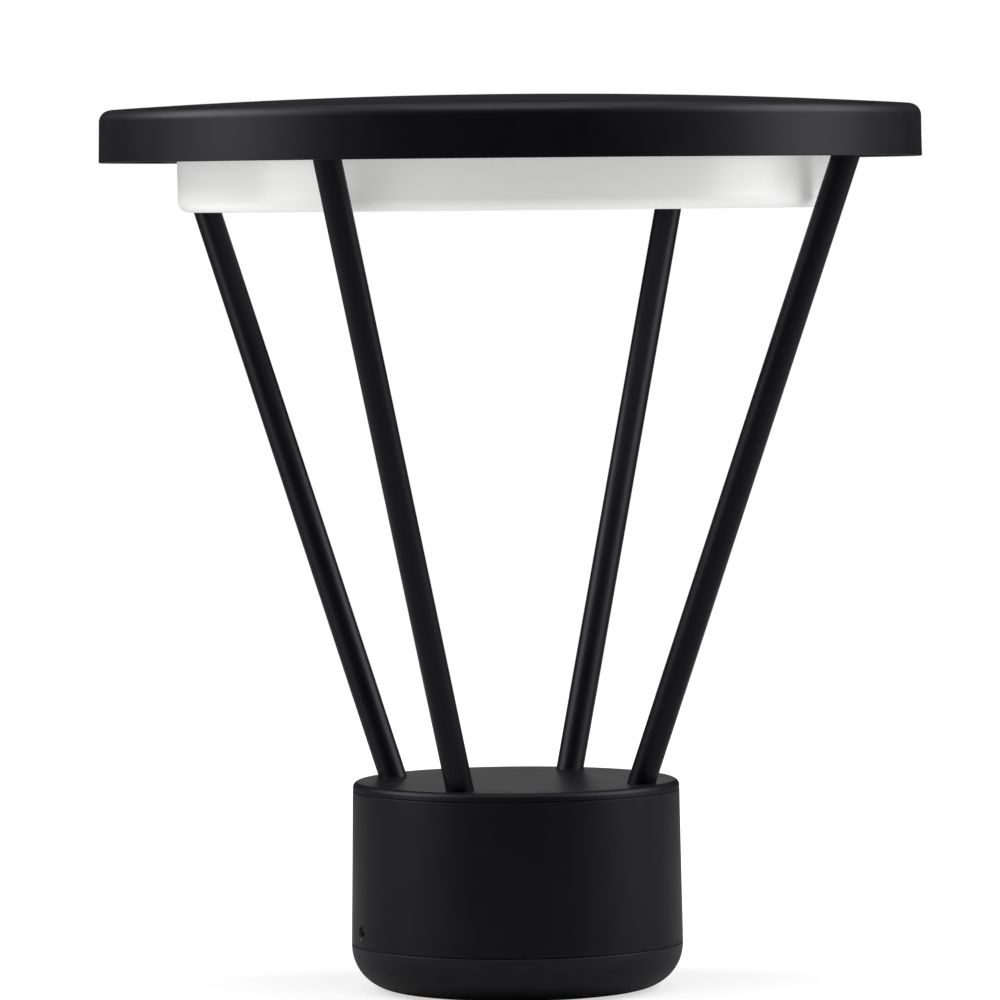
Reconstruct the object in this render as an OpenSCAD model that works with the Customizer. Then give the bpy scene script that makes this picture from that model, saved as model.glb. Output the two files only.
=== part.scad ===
// Garden post light. A shallow round cap with an opal dish under it stands on four leaning rods,
// and the rods rise from a round base that slips over the tenon of a garden post.
// Sizes are millimetres. The origin is the centre of the base's underside and +Z points up.

/* [Cap] */
// Outside diameter of the cap at its rim
cap_d = 500; // [490:2:540]
// Height of the cap's side wall, from the rim to the domed top
cap_h = 32; // [31:0.5:40]
// Rise of the domed top above the side wall
cap_rise = 7.6; // [5:0.2:12]
// Radius of the cap's rounded top edge
cap_edge_r = 7.3; // [5:0.1:9]
// Wall of the cap casting
cap_wall = 3; // [2.4:0.1:3.6]
// Draft of the cap's side wall, in degrees
cap_draft = 1; // [0.5:0.1:2]
// Cap screws between one rod and the next
cap_screws_per_side = 2; // [1:1:3]
// Thickness of the ribs inside the cap
cap_rib_t = 2.4; // [2:0.1:3]
// Depth that the cap's ribs reach below the top of the side wall
cap_rib_depth = 5.5; // [4.5:0.1:6.5]

/* [Pan] */
// Height of the pan's underside above the cap's rim
pan_recess = 5.5; // [5.2:0.1:6]
// Thickness of the pan
pan_t = 2.5; // [2:0.1:3]
// Section of the silicone cord between the pan and the cap
cap_seal_t = 1.5; // [1.2:0.1:1.8]
// Distance from the cap's outside to the pan's stiffening ring
pan_ring_inset = 100; // [85:1:120]

/* [Diffuser] */
// Distance from the cap's outside to the side of the opal dish
diffuser_inset = 47.5; // [46.5:0.5:52]
// Depth that the dish hangs below the cap's rim
diffuser_drop = 30.3; // [22:0.5:45]
// Wall of the dish
diffuser_wall = 3; // [2.2:0.1:3.6]
// Radius of the dish's lower edge
diffuser_edge_r = 7; // [5:0.5:12]
// Draft of the dish's side, in degrees
diffuser_draft = 0.8; // [0.4:0.1:1.5]
// Thickness of the dish's clamped flange
flange_t = 2.4; // [2:0.1:2.6]
// Width of the dish's clamped flange
flange_w = 3.4; // [2.8:0.1:3.8]
// Width of the clamping ring's land outside the flange
ring_land = 7.2; // [7:0.1:7.6]
// Thickness of the clamping ring's lip
ring_lip_t = 1.5; // [1.2:0.1:1.7]
// Screws in the clamping ring
ring_screws_n = 12; // [8:4:20]

/* [Light engine] */
// Gap between the dish and the edge of the board that carries the light emitting diodes
board_inset = 14.5; // [11.5:0.5:24.5]
// Thickness of the board
board_t = 1.6; // [1:0.2:2]
// Side of one diode
chip_w = 3; // [2.5:0.5:5]
// Height of one diode
chip_h = 0.7; // [0.5:0.1:1]
// Radial step from one ring of diodes to the next
chip_step = 30; // [28:1:34]

/* [Rods] */
// Outside diameter of the rods
rod_d = 16.7; // [15:0.1:17.5]
// Bore of the rods, tapped at both ends
rod_bore = 10; // [8:0.5:10.5]
// Clear height between the base's top face and the cap's rim
stand_h = 378; // [320:2:460]
// Distance from the base's edge to a rod's axis, on the top face
rod_inset = 16.7; // [16.5:0.1:19]
// Turn of the rods' cap ends round the axis against their base ends, in degrees
rod_twist = 4.2; // [0:0.2:7]
// Length of rod held in the top plate, along the rod
rod_seat_base = 8; // [6:0.5:10]
// Length of rod above the cap's rim, along the rod
rod_seat_cap = 10; // [9.5:0.1:10.5]
// Metal between a rod's end and the nut that holds it
rod_shoulder = 3.5; // [3:0.1:4]

/* [Base] */
// Diameter of the base at its lower seam
base_d = 202.4; // [200:0.2:214]
// Draft of the base's side, in degrees
base_draft = 0.9; // [0.4:0.1:1]
// Height of the drum between its two seams
drum_h = 93.5; // [91:0.5:130]
// Least wall of the drum
drum_wall = 3.5; // [3.2:0.1:4.5]
// Thickness of the top plate at its edge
plate_t = 5.5; // [5:0.1:8]
// Thickness of metal left over the pocket under the top plate
plate_web_t = 3.5; // [3:0.1:4.5]
// Radius of the top plate's upper edge
plate_edge_r = 3.6; // [1:0.1:4.2]
// Height of the bowl below the lower seam
bowl_h = 28; // [27.4:0.2:34]
// Radius of the bowl's lower corner
bowl_edge_r = 27; // [20:0.5:27]
// Wall of the bowl
bowl_wall = 4; // [3.5:0.1:5]
// Height of the spigot that the drum slips over
spigot_h = 20; // [16:0.5:22]
// Wall of the spigot
spigot_wall = 3.5; // [3:0.1:4.5]
// Height of the lock screws above the lower seam
lock_screw_up = 9; // [8:0.5:11]

/* [Post socket] */
// Outside diameter of the post's tenon
tenon_d = 76.2; // [70:0.2:80]
// Clearance round the tenon
tenon_gap = 1.6; // [1:0.1:2.5]
// Depth of the socket for the tenon
socket_depth = 78; // [72:0.5:80]
// Wall of the socket
socket_wall = 7; // [5:0.5:8]
// Width of the ledge that stops the tenon
stop_w = 12; // [8:0.5:16]
// Height of the tenon screws above the base's underside
tenon_screw_z = 62; // [58:0.5:66]

/* [Fasteners] */
// Diameter of the lock screws and of the tenon screws
set_screw_d = 8; // [6:0.5:8.5]
// Length of a lock screw
lock_screw_l = 6; // [5:0.1:6.3]
// Length of a tenon screw
tenon_screw_l = 14; // [12:0.5:18]
// Size of a rod nut across its flats
rod_nut_af = 17; // [16:0.5:18]
// Thickness of a rod nut
rod_nut_t = 4; // [3:0.1:5]
// Bore of the hollow studs that hold the rods
stud_bore = 6; // [5:0.2:6.6]
// Diameter of the cap screws and of the top plate screws
frame_screw_d = 5; // [4:0.5:5]
// Diameter of the clamping ring screws
ring_screw_d = 3; // [2.5:0.1:3]
// Diameter of the small screws on the board and on the gear in the base
small_screw_d = 3; // [2.5:0.5:3.5]

/* [Gear] */
// Gap between the driver's tabs and the drum's lugs
driver_end_gap = 5.3; // [3:0.1:16]
// Width of the driver's case
driver_w = 58; // [50:1:62]
// Height of the driver's case
driver_h = 30; // [24:0.5:30]
// Drop of the driver's case below the top plate's seat
driver_drop = 4; // [3:0.5:4.5]
// Length of the surge protector
surge_l = 44; // [34:1:50]
// Height of the surge protector
surge_h = 24; // [18:1:28]
// Pitch of the terminal block's poles
pole_pitch = 11; // [9:0.5:12]
// Diameter of the lead that climbs the rod
lead_d = 3.6; // [3:0.1:4]

/* [Clearances] */
// Radial clearance of a thread, a rod or a cord in its hole
thread_gap = 0.05; // [0.02:0.01:0.09]
// Clearance between parts that slip into each other or come apart
slip_gap = 0.3; // [0.25:0.05:0.5]
// Small chamfer on edges that meet at a seam
edge_break = 0.6; // [0.3:0.1:0.9]

/* [Hidden] */
$fn = 96;

// Heights of the seams and faces, from the bottom up
seam_z = bowl_h;
drum_top_z = seam_z + drum_h;
plate_top_z = drum_top_z + plate_t;
rim_z = plate_top_z + stand_h;
wall_top_z = rim_z + cap_h;
cap_top_z = wall_top_z + cap_rise;
pan_z = rim_z + pan_recess;
pan_top_z = pan_z + pan_t;

// Radii of the base
base_r = base_d / 2;
drum_top_r = base_r - drum_h * tan(base_draft);
plate_r = drum_top_r;
plate_face_r = drum_top_r - plate_t * tan(base_draft);
drum_bore_r = drum_top_r - drum_wall;
rebate_r = drum_bore_r + 1.8;
band_bore_r = drum_bore_r - 2;
band_h = spigot_h + 4;
spigot_r = band_bore_r - slip_gap;
groove_in_r = spigot_r + 1.4;
groove_out_r = groove_in_r + 2.8;
gasket_t = 1.5;

// The socket for the post's tenon
socket_r = tenon_d / 2 + tenon_gap;
collar_r = socket_r + socket_wall;
stop_t = 4;
socket_lead_in = 1.5;
set_r = set_screw_d / 2;
tenon_boss_r = set_r + 4;
tenon_boss_out = collar_r + 6;
tenon_screw_az = [90, 210, 330];
bowl_ribs = 6;
bowl_rib_t = 3;

// The rods. Their base ends stand at 45 degrees to the axes and their cap ends are turned back.
rod_count = 4;
rod_r = rod_d / 2;
rod_base_r = plate_face_r - rod_inset;
cap_r = cap_d / 2;
cap_in_r = cap_r - cap_wall;
diffuser_r = cap_r - diffuser_inset;
rod_top_r = (diffuser_r + cap_in_r) / 2 + 0.4;
rod_axis = rod_head(0) - rod_foot(0);
rod_span = norm(rod_axis);
rod_lean = acos(rod_axis[2] / rod_span);
rod_boss_r = rod_r + 3.6;
rod_cut = 30;
stud_r = rod_bore / 2 - thread_gap;
stud_hold = 16;
stud_end = 1.2;

// The cap's edge circle and the sphere of its top, tangent to each other and to the side wall
edge_z = wall_top_z - cap_edge_r;
edge_c = cap_r - (edge_z - rim_z + cap_edge_r * sin(cap_draft)) * tan(cap_draft)
    - cap_edge_r * cos(cap_draft);
dome_r = (edge_c * edge_c + pow(cap_rise + cap_edge_r, 2) - cap_edge_r * cap_edge_r) / (2 * cap_rise);
dome_z = cap_top_z - dome_r;
dome_start = atan2(edge_z - dome_z, edge_c);
dome_steps = 20;
edge_steps = 10;

// The pan, its seal and the cap's bosses
pan_r = cap_in_r - (pan_recess + pan_t) * tan(cap_draft) - 2 * slip_gap;
seal_out_r = pan_r - 0.3;
seal_in_r = seal_out_r - cap_seal_t;
ledge_z = pan_top_z + cap_seal_t;
ledge_h = 4;
cap_boss_r = frame_screw_d / 2 + 3;
cap_boss_at = seal_in_r - cap_boss_r - 3;
cap_rib_z = wall_top_z - cap_rib_depth;
cap_screw_in = 8;
cap_hub_r = 26;
pan_ring_r = cap_r - pan_ring_inset;
pan_ring_h = 5;
pan_ring_t = 3;

// The dish, its flange and the ring that clamps it
ring_inset = 0.5;
flange_r = diffuser_r + flange_w;
flange_gasket_t = pan_recess - flange_t - ring_lip_t - ring_inset;
ring_z = rim_z + ring_inset;
ring_in_r = diffuser_r + slip_gap;
ring_step_r = flange_r + slip_gap;
ring_out_r = ring_step_r + ring_land;
ring_screw_at = ring_step_r + ring_land / 2;
diffuser_z = rim_z - diffuser_drop;
dish_steps = 8;

// The board under the pan and the rings of diodes on it
board_r = diffuser_r - diffuser_wall - board_inset;
board_z = pan_z - board_t;
chip_rings = floor((board_r - 20) / chip_step);
board_screw_at = board_r - 7;
board_screws_n = 8;
lead_hole_r = 8;
grommet_r = 10;
connector_at = 18;
connector_h = 8;
connector_mouth = 5;

// The gear that hangs under the top plate
plate_lug_at = drum_bore_r - 9.4;
plate_lug_r = frame_screw_d / 2 + 4;
plate_lug_h = 10;
plate_pocket_r = plate_lug_at - plate_lug_r - 0.6;
plate_pocket_z = plate_top_z - plate_web_t;
tab_w = 20;
tab_t = 1.5;
tab_reach = 8;
driver_l = 2 * (plate_lug_at - plate_lug_r - driver_end_gap - tab_reach);
driver_top_z = drum_top_z - driver_drop;
driver_z = driver_top_z - driver_h;
driver_screw_at = driver_l / 2 + tab_reach / 2;
case_rib_step = 8;
case_ribs = floor((driver_l - 16) / case_rib_step) + 1;
gland_r = 4;
gland_l = 4;
gear_gap = 6;
gear_post_h = 4;
gear_seat_z = plate_pocket_z - gear_post_h;
ear_t = 2.5;
surge_w = 26;
surge_y = driver_w / 2 + gear_gap + surge_w / 2;
surge_screw_at = surge_l / 2 + tab_reach / 2;
block_w = 18;
block_h = 16;
block_poles = 3;
pole_bore_r = 2.4;
wire_up = block_h / 2 + 1;
block_l = block_poles * pole_pitch + 3;
block_y = -(driver_w / 2 + gear_gap + block_w / 2);
block_screw_at = block_l / 2 + tab_reach / 2;
ground_at = block_screw_at + 13;
gear_screw_l = 5;
lead_r = lead_d / 2;
wire_r = 1.3;
lead_sides = 8;

cast_black = [0.07, 0.07, 0.08];
opal_white = [0.93, 0.94, 0.95];
silicone_grey = [0.55, 0.56, 0.58];
zinc_grey = [0.66, 0.68, 0.70];
board_white = [0.96, 0.96, 0.93];
diode_yellow = [0.95, 0.80, 0.25];
nylon_white = [0.90, 0.90, 0.86];
case_grey = [0.75, 0.76, 0.78];
surge_red = [0.55, 0.16, 0.12];
ground_green = [0.10, 0.45, 0.20];
oxide_black = [0.13, 0.13, 0.13];

function polar(r, a, z) = [r * cos(a), r * sin(a), z];
function base_az(i) = 45 + 360 / rod_count * i;
function cap_az(i) = base_az(i) - rod_twist;
function rod_foot(i) = polar(rod_base_r, base_az(i), plate_top_z);
function rod_head(i) = polar(rod_top_r, cap_az(i), rim_z);
function flat_head_r(d) = 0.85 * d;
function unit(v) = v / norm(v);
function rod_dir(i) = unit(rod_head(i) - rod_foot(i));
function rod_point(i, s) = rod_foot(i) + s * rod_dir(i);

// Points of an arc in the r-z plane, from angle a0 to angle a1
function arc(c, r, a0, a1, n) = [for (i = [0:n]) let (a = a0 + (a1 - a0) * i / n)
    [c[0] + r * cos(a), c[1] + r * sin(a)]];
function reversed(p) = [for (i = [len(p) - 1:-1:0]) p[i]];

// The cap's surface, set in by t, as one line from the rim over the rounded edge to the middle
function cap_line(t) = concat(
    [[cap_r - t / cos(cap_draft), rim_z]],
    arc([edge_c, edge_z], cap_edge_r - t, cap_draft, dome_start, edge_steps),
    [for (i = [1:dome_steps]) let (a = dome_start + (90 - dome_start) * i / dome_steps)
        [i == dome_steps ? 0 : (dome_r - t) * cos(a), dome_z + (dome_r - t) * sin(a)]]
);

// The dish's surface, set in by t, from the flange down its side, round its edge to the middle
function dish_side_r(z) = diffuser_r - (rim_z - z) * tan(diffuser_draft);
function dish_line(t, top) = let (
        cz = diffuser_z + diffuser_edge_r,
        cr = dish_side_r(cz) - diffuser_edge_r / cos(diffuser_draft)
    ) concat(
        [[dish_side_r(top) - t, top]],
        arc([cr, cz], diffuser_edge_r - t, -diffuser_draft, -90, dish_steps),
        [[0, diffuser_z + t]]
    );

// Smooth points through a list of stations, n between each pair
function curve_at(p, i, u) = let (
        a = p[max(i - 1, 0)],
        b = p[i],
        c = p[i + 1],
        d = p[min(i + 2, len(p) - 1)]
    ) 0.5 * (2 * b + (c - a) * u + (2 * a - 5 * b + 4 * c - d) * u * u + (3 * b - a - 3 * c + d) * u * u * u);
function smooth(p, n) = concat(
    [for (i = [0:len(p) - 2]) for (k = [0:n - 1]) curve_at(p, i, k / n)],
    [p[len(p) - 1]]
);
function tangent(p, i) = unit(p[min(i + 1, len(p) - 1)] - p[max(i - 1, 0)]);
function square_to(v, t) = unit(v - (v * t) * t);
function ring_normals(p, i, n) = i == len(p) ? [] :
    let (m = square_to(n, tangent(p, i))) concat([m], ring_normals(p, i + 1, m));

// A round lead along the points p
module lead(p, r) {
    start = square_to([0.31, 0.52, 0.79], tangent(p, 0));
    normals = ring_normals(p, 0, start);
    points = [for (i = [0:len(p) - 1]) for (k = [0:lead_sides - 1])
        let (m = normals[i], b = cross(tangent(p, i), m), a = 360 * k / lead_sides)
        p[i] + r * cos(a) * m + r * sin(a) * b];
    last = (len(p) - 1) * lead_sides;
    sides = [for (i = [0:len(p) - 2]) for (k = [0:lead_sides - 1]) for (half = [0, 1])
        let (j = (k + 1) % lead_sides, o = i * lead_sides)
        half == 0 ? [o + k, o + lead_sides + j, o + j] : [o + k, o + lead_sides + k, o + lead_sides + j]];
    ends = concat(
        [[for (k = [0:lead_sides - 1]) k]],
        [[for (k = [lead_sides - 1:-1:0]) last + k]]
    );
    polyhedron(points = points, faces = concat(sides, ends));
}

// Puts its children on a rod's axis, with z = 0 where the axis meets the base's top face
module on_rod(i) {
    d = rod_dir(i);
    translate(rod_foot(i))
        rotate([0, 0, atan2(d[1], d[0])])
            rotate([0, rod_lean, 0])
                children();
}

module on_rod_cap_end(i) {
    on_rod(i)
        translate([0, 0, rod_span])
            children();
}

module ring(r_out, r_in, z, h) {
    translate([0, 0, z])
        rotate_extrude()
            translate([r_in, 0])
                square([r_out - r_in, h]);
}

module rounded_block(x, y, h, r) {
    linear_extrude(h)
        union() {
            square([x - 2 * r, y], center = true);
            square([x, y - 2 * r], center = true);
            for (sx = [-1, 1])
                for (sy = [-1, 1])
                    translate([sx * (x / 2 - r), sy * (y / 2 - r)])
                        circle(r);
        }
}

// Button head screw with a hexagon socket. The shank points up from z = 0 and the head hangs below.
module button_screw(d, l) {
    head_h = 0.55 * d;
    head_r = 0.95 * d;
    difference() {
        union() {
            cylinder(d = d, h = l);
            rotate_extrude()
                polygon(concat([[0, 0], [head_r, 0]],
                    [for (i = [1:5]) let (a = 90 * i / 5)
                        [0.5 * head_r + 0.5 * head_r * cos(a), -head_h * sin(a)]],
                    [[0, -head_h]]));
        }
        translate([0, 0, -head_h - 1])
            cylinder(r = 0.32 * d, h = 1 + 0.65 * head_h, $fn = 6);
    }
}

// Countersunk screw with a hexagon socket. The shank points up from its flat head at z = 0.
module flat_screw(d, l) {
    head_r = flat_head_r(d);
    difference() {
        union() {
            cylinder(d = d, h = l);
            cylinder(r1 = head_r, r2 = d / 2, h = head_r - d / 2);
        }
        translate([0, 0, -1])
            cylinder(r = 0.3 * d, h = 1 + 0.5 * d, $fn = 6);
    }
}

// Socket set screw along +Z, its tip at z = 0 and its hexagon socket at the far end
module set_screw(l) {
    r = set_r - thread_gap;
    tip = 0.8;
    socket_deep = min(3.5, l / 2);
    difference() {
        rotate_extrude()
            polygon([[0, 0], [r - tip, 0], [r, tip], [r, l - 0.4], [r - 0.4, l], [0, l]]);
        translate([0, 0, l - socket_deep])
            cylinder(r = set_r * 0.56, h = socket_deep + 1, $fn = 6);
    }
}

module hex_nut(af, t, bore) {
    difference() {
        cylinder(r = af / 2 / cos(30), h = t, $fn = 6);
        translate([0, 0, -1])
            cylinder(r = bore, h = t + 2);
    }
}

// Bowl, spigot and tenon socket, cast in one piece
module fitter() {
    corner_z = bowl_edge_r;
    flat_r = base_r - bowl_edge_r;
    spigot_in_r = spigot_r - spigot_wall;
    inner_edge_r = bowl_edge_r - bowl_wall;
    inner_start = -acos((spigot_in_r - flat_r) / inner_edge_r);
    collar_top = socket_depth + stop_t;
    color(cast_black)
        difference() {
            union() {
                rotate_extrude()
                    polygon(concat(
                        [[socket_r + socket_lead_in, 0]],
                        arc([flat_r, corner_z], bowl_edge_r, -90, 0, 16),
                        [
                            [base_r, seam_z - edge_break],
                            [base_r - edge_break, seam_z],
                            [groove_out_r, seam_z],
                            [groove_out_r, seam_z - gasket_t],
                            [groove_in_r, seam_z - gasket_t],
                            [groove_in_r, seam_z],
                            [spigot_r, seam_z],
                            [spigot_r, seam_z + spigot_h - edge_break],
                            [spigot_r - edge_break, seam_z + spigot_h],
                            [spigot_in_r, seam_z + spigot_h]
                        ],
                        arc([flat_r, corner_z], inner_edge_r, inner_start, -90, 8),
                        [
                            [collar_r, bowl_wall],
                            [collar_r, collar_top],
                            [socket_r - stop_w, collar_top],
                            [socket_r - stop_w, socket_depth],
                            [socket_r, socket_depth],
                            [socket_r, socket_lead_in]
                        ]
                    ));
                for (i = [0:bowl_ribs - 1])
                    rotate([90, 0, 360 / bowl_ribs * i])
                        translate([0, 0, -bowl_rib_t / 2])
                            linear_extrude(bowl_rib_t)
                                polygon([
                                    [collar_r - 1, bowl_wall - 1],
                                    [flat_r, bowl_wall - 1],
                                    [spigot_in_r + 1, seam_z - 8],
                                    [spigot_in_r + 1, seam_z + 4],
                                    [collar_r - 1, seam_z + spigot_h - 2]
                                ]);
                for (a = tenon_screw_az)
                    rotate([0, 0, a])
                        translate([socket_r + 2, 0, tenon_screw_z])
                            rotate([0, 90, 0])
                                cylinder(r = tenon_boss_r, h = tenon_boss_out - socket_r - 2);
            }
            for (a = tenon_screw_az)
                rotate([0, 0, a])
                    translate([socket_r - 2, 0, tenon_screw_z])
                        rotate([0, 90, 0])
                            cylinder(r = set_r, h = tenon_boss_out - socket_r + 4);
        }
}

// Flat silicone ring in the groove of the bowl's shoulder
module fitter_gasket() {
    color(silicone_grey)
        ring(groove_out_r, groove_in_r, seam_z - gasket_t, gasket_t);
}

// Backed out, so that its tip is just clear of the tenon's bore
module tenon_screw(a) {
    color(zinc_grey)
        rotate([0, 0, a])
            translate([socket_r + slip_gap, 0, tenon_screw_z])
                rotate([0, 90, 0])
                    set_screw(tenon_screw_l);
}

// Side wall of the base, with a thick band round the spigot and four lugs for the top plate
module drum() {
    lug_z = drum_top_z - plate_lug_h;
    color(cast_black)
        difference() {
            union() {
                rotate_extrude()
                    polygon([
                        [band_bore_r + edge_break, seam_z],
                        [base_r - edge_break, seam_z],
                        [base_r, seam_z + edge_break],
                        [drum_top_r, drum_top_z - edge_break],
                        [drum_top_r - edge_break, drum_top_z],
                        [drum_bore_r, drum_top_z],
                        [drum_bore_r, seam_z + band_h + 2],
                        [band_bore_r, seam_z + band_h],
                        [band_bore_r, seam_z + edge_break]
                    ]);
                for (a = [0:90:270])
                    rotate([0, 0, a]) {
                        translate([plate_lug_at, 0, lug_z])
                            cylinder(r = plate_lug_r, h = plate_lug_h);
                        translate([plate_lug_at, -plate_lug_r, lug_z])
                            cube([drum_bore_r - plate_lug_at + 1.5, 2 * plate_lug_r, plate_lug_h]);
                        translate([0, 1.5, 0])
                            rotate([90, 0, 0])
                                linear_extrude(3)
                                    polygon([
                                        [plate_lug_at + frame_screw_d, lug_z + 1],
                                        [drum_bore_r + 1.5, lug_z + 1],
                                        [drum_bore_r + 1.5, lug_z - 12]
                                    ]);
                    }
            }
            ring(rebate_r, drum_bore_r - 0.01, drum_top_z - gasket_t, gasket_t + 1);
            for (a = [0:90:270])
                rotate([0, 0, a])
                    translate([plate_lug_at, 0, lug_z - 1])
                        cylinder(r = frame_screw_d / 2 + slip_gap, h = plate_lug_h + 2);
            for (a = [0, 180])
                rotate([0, 0, a])
                    translate([0, 0, seam_z + lock_screw_up])
                        rotate([0, 90, 0]) {
                            cylinder(r = set_r, h = base_r + 2);
                            translate([0, 0, base_r - 1.2])
                                cylinder(r1 = set_r, r2 = set_r + 1.6, h = 1.6);
                        }
        }
}

// Flat silicone ring in the rebate at the top of the drum
module plate_gasket() {
    color(silicone_grey)
        ring(rebate_r, drum_bore_r, drum_top_z - gasket_t, gasket_t);
}

// Cover of the base, with slanted seats for the rods and posts for the gear
module top_plate() {
    edge_c_r = plate_face_r - plate_edge_r;
    post_r = small_screw_d / 2 + 2.6;
    boss_drop = 40;
    color(cast_black)
        difference() {
            union() {
                rotate_extrude()
                    polygon(concat(
                        [
                            [0, plate_pocket_z],
                            [plate_pocket_r, plate_pocket_z],
                            [plate_pocket_r + 1, drum_top_z],
                            [plate_r - edge_break, drum_top_z],
                            [plate_r, drum_top_z + edge_break]
                        ],
                        arc([edge_c_r, plate_top_z - plate_edge_r], plate_edge_r, 0, 90, 8),
                        [[0, plate_top_z]]
                    ));
                intersection() {
                    translate([0, 0, drum_top_z - boss_drop])
                        cylinder(r = drum_bore_r - slip_gap, h = boss_drop + plate_t - 1);
                    for (i = [0:rod_count - 1])
                        on_rod(i)
                            translate([0, 0, -rod_seat_base - rod_shoulder])
                                cylinder(r = rod_boss_r, h = rod_seat_base + rod_shoulder + 8);
                }
                for (p = gear_posts())
                    translate(p)
                        cylinder(r = post_r, h = plate_pocket_z + 1 - p[2]);
            }
            for (i = [0:rod_count - 1])
                on_rod(i)
                    translate([0, 0, -rod_seat_base])
                        mirror([0, 0, 1])
                            rod_socket();
            for (a = [0:90:270])
                translate(polar(plate_lug_at, a, drum_top_z - 1))
                    cylinder(d = frame_screw_d, h = plate_t - 0.6);
            for (p = gear_posts())
                translate(p + [0, 0, -1])
                    cylinder(d = small_screw_d, h = 1 + gear_screw_l);
        }
}

// The bore for a rod's end below z = 0 and the smaller hole for its stud above
module rod_socket() {
    r = rod_r + thread_gap;
    hole_r = rod_bore / 2 + 0.2;
    rotate_extrude()
        polygon([
            [0, -rod_cut],
            [r, -rod_cut],
            [r, 0],
            [hole_r, 0],
            [hole_r, rod_shoulder + 4],
            [0, rod_shoulder + 4]
        ]);
}

// Feet of the posts under the top plate that the driver, surge protector, terminals and ground use
function gear_posts() = [
    [driver_screw_at, 0, driver_top_z],
    [-driver_screw_at, 0, driver_top_z],
    [surge_screw_at, surge_y, gear_seat_z],
    [-surge_screw_at, surge_y, gear_seat_z],
    [block_screw_at, block_y, gear_seat_z],
    [-block_screw_at, block_y, gear_seat_z],
    [ground_at, block_y, gear_seat_z]
];

module plate_screws() {
    color(zinc_grey)
        for (a = [0:90:270])
            translate(polar(plate_lug_at, a, drum_top_z - plate_lug_h))
                button_screw(frame_screw_d - 2 * thread_gap, plate_lug_h + plate_t - 2);
}

// Tip against the spigot and socket just inside the drum's face
module lock_screw(a) {
    color(oxide_black)
        rotate([0, 0, a])
            translate([spigot_r + slip_gap, 0, seam_z + lock_screw_up])
                rotate([0, 90, 0])
                    set_screw(lock_screw_l);
}

// Drawn tube, tapped at both ends
module rod(i) {
    color(cast_black)
        on_rod(i)
            translate([0, 0, -rod_seat_base])
                difference() {
                    cylinder(r = rod_r, h = rod_seat_base + rod_span + rod_seat_cap);
                    translate([0, 0, -1])
                        cylinder(d = rod_bore, h = rod_seat_base + rod_span + rod_seat_cap + 2);
                }
}

// Hollow stud from the rod's end out through the seat and its nut
module stud() {
    out = rod_shoulder + rod_nut_t + stud_end;
    difference() {
        translate([0, 0, -stud_hold])
            cylinder(r = stud_r, h = stud_hold + out);
        translate([0, 0, -stud_hold - 1])
            cylinder(d = stud_bore, h = stud_hold + out + 2);
    }
}

module base_studs() {
    color(zinc_grey)
        for (i = [0:rod_count - 1])
            on_rod(i)
                translate([0, 0, -rod_seat_base])
                    mirror([0, 0, 1])
                        stud();
}

module base_nuts() {
    color(zinc_grey)
        for (i = [0:rod_count - 1])
            on_rod(i)
                translate([0, 0, -rod_seat_base - rod_shoulder - rod_nut_t])
                    hex_nut(rod_nut_af, rod_nut_t, rod_bore / 2);
}

module cap_studs() {
    color(zinc_grey)
        for (i = [0:rod_count - 1])
            on_rod_cap_end(i)
                translate([0, 0, rod_seat_cap])
                    stud();
}

module cap_nuts() {
    color(zinc_grey)
        for (i = [0:rod_count - 1])
            on_rod_cap_end(i)
                translate([0, 0, rod_seat_cap + rod_shoulder])
                    hex_nut(rod_nut_af, rod_nut_t, rod_bore / 2);
}

function cap_screw_az() = [for (i = [0:rod_count - 1]) for (k = [0:cap_screws_per_side - 1])
    cap_az(i) + 360 / rod_count * (k + 0.5) / cap_screws_per_side];

// Plate under the cap that carries the board, the dish and the rods' cap ends
module pan() {
    color(cast_black)
        difference() {
            union() {
                translate([0, 0, pan_z])
                    cylinder(r = pan_r, h = pan_t);
                ring(pan_ring_r + pan_ring_t / 2, pan_ring_r - pan_ring_t / 2,
                    pan_top_z - 1, pan_ring_h + 1);
                intersection() {
                    translate([0, 0, pan_z + pan_t / 2])
                        cylinder(r = cap_r, h = cap_h);
                    for (i = [0:rod_count - 1])
                        on_rod_cap_end(i)
                            cylinder(r = rod_boss_r, h = rod_seat_cap + rod_shoulder);
                }
            }
            for (i = [0:rod_count - 1])
                on_rod_cap_end(i)
                    translate([0, 0, rod_seat_cap])
                        rod_socket();
            for (a = cap_screw_az())
                translate(polar(cap_boss_at, a, pan_z - 1))
                    cylinder(r = frame_screw_d / 2 + slip_gap, h = pan_t + 2);
            for (i = [0:ring_screws_n - 1])
                translate(polar(ring_screw_at, 360 / ring_screws_n * i, pan_z - 1))
                    cylinder(d = ring_screw_d, h = pan_t + 2);
            for (i = [0:board_screws_n - 1])
                translate(polar(board_screw_at, 360 / board_screws_n * i, pan_z - 1))
                    cylinder(d = small_screw_d, h = pan_t + 2);
            translate([0, 0, pan_z - 1])
                cylinder(r = lead_hole_r, h = pan_t + 2);
        }
}

// Silicone cord between the pan's edge and the ledge inside the cap
module cap_seal() {
    color(silicone_grey)
        ring(seal_out_r, seal_in_r, pan_top_z, cap_seal_t);
}

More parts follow.
